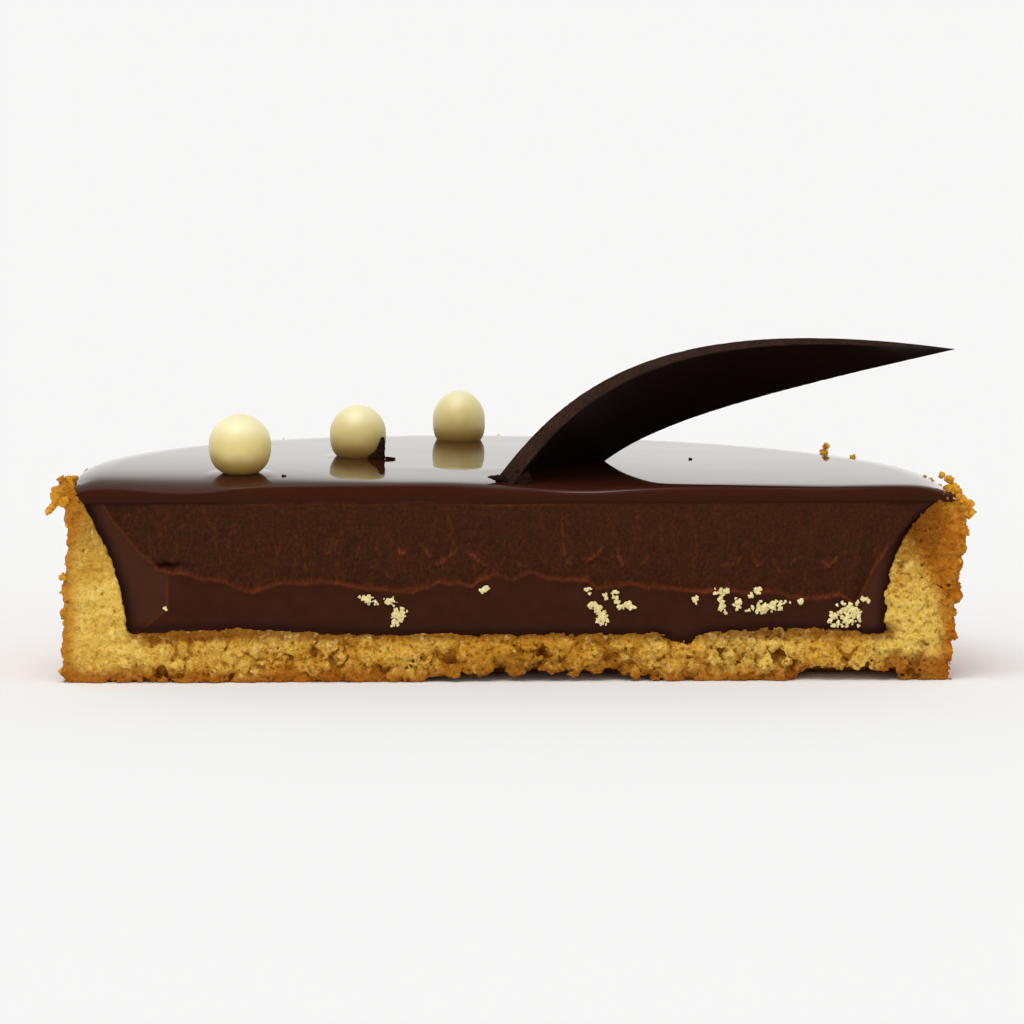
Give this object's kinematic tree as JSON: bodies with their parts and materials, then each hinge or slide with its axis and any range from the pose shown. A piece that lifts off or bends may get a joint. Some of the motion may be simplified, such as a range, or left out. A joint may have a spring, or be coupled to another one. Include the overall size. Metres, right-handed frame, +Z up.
{
  "type": "chocolate tart",
  "caption": "Half of a cut round chocolate tartlet: crumbly pastry shell, dark filling, mirror glaze, white chocolate pearls and a curled dark chocolate shard.",
  "frame": {"origin": "middle of the tartlet's footprint, on the surface that it stands on", "axes": "+X along the cut face towards the shard's tip, +Y from the cut face to the round back, +Z up"},
  "size_m": [0.0794, 0.0398, 0.0296],
  "materials": {
    "pastry": "crumbly baked shortcrust, browned outside and on the foot",
    "ganache": "cut dark ganache, satin, dragged by the knife",
    "mirror_glaze": "mirror gloss",
    "white_chocolate": "soft gloss",
    "dark_chocolate": "tempered satin, matte on the cut edge"
  },
  "bodies": {
    "root": {"crust": "pastry", "ganache": "ganache", "glaze": "mirror_glaze", "pearl_1": "white_chocolate", "pearl_2": "white_chocolate", "pearl_3": "white_chocolate", "shard": "dark_chocolate"}
  },
  "joints": []
}
